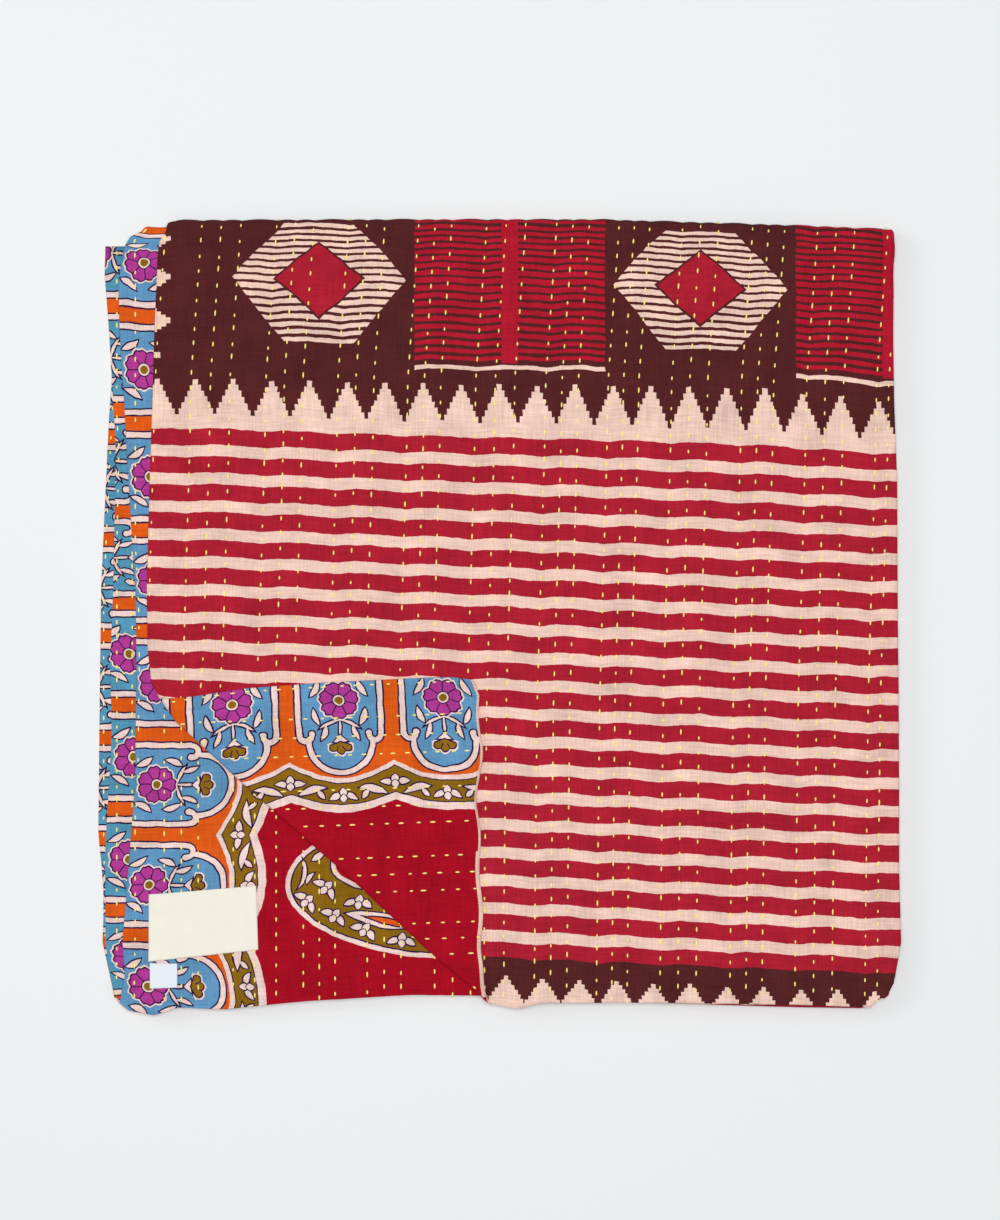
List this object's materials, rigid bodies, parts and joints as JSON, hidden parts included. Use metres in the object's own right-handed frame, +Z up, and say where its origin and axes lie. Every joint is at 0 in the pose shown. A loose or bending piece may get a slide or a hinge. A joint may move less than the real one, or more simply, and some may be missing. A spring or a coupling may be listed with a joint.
{
  "type": "quilted throw",
  "caption": "Thin stitched cotton throw, folded flat in half and then in three, with its top corner turned back.",
  "frame": {"origin": "on the ground, under the middle of the folded throw's box", "axes": "+Z up, +Y to the far fold, +X to the side fold"},
  "size_m": [0.8056, 0.798, 0.0248],
  "materials": {
    "printed_cotton": "matt printed cotton, running stitch",
    "label_cotton": "matt cotton tape",
    "label_satin": "smooth satin tape"
  },
  "bodies": {
    "root": {"throw": "printed_cotton", "cloth_label": "label_cotton", "care_label": "label_satin"}
  },
  "joints": []
}
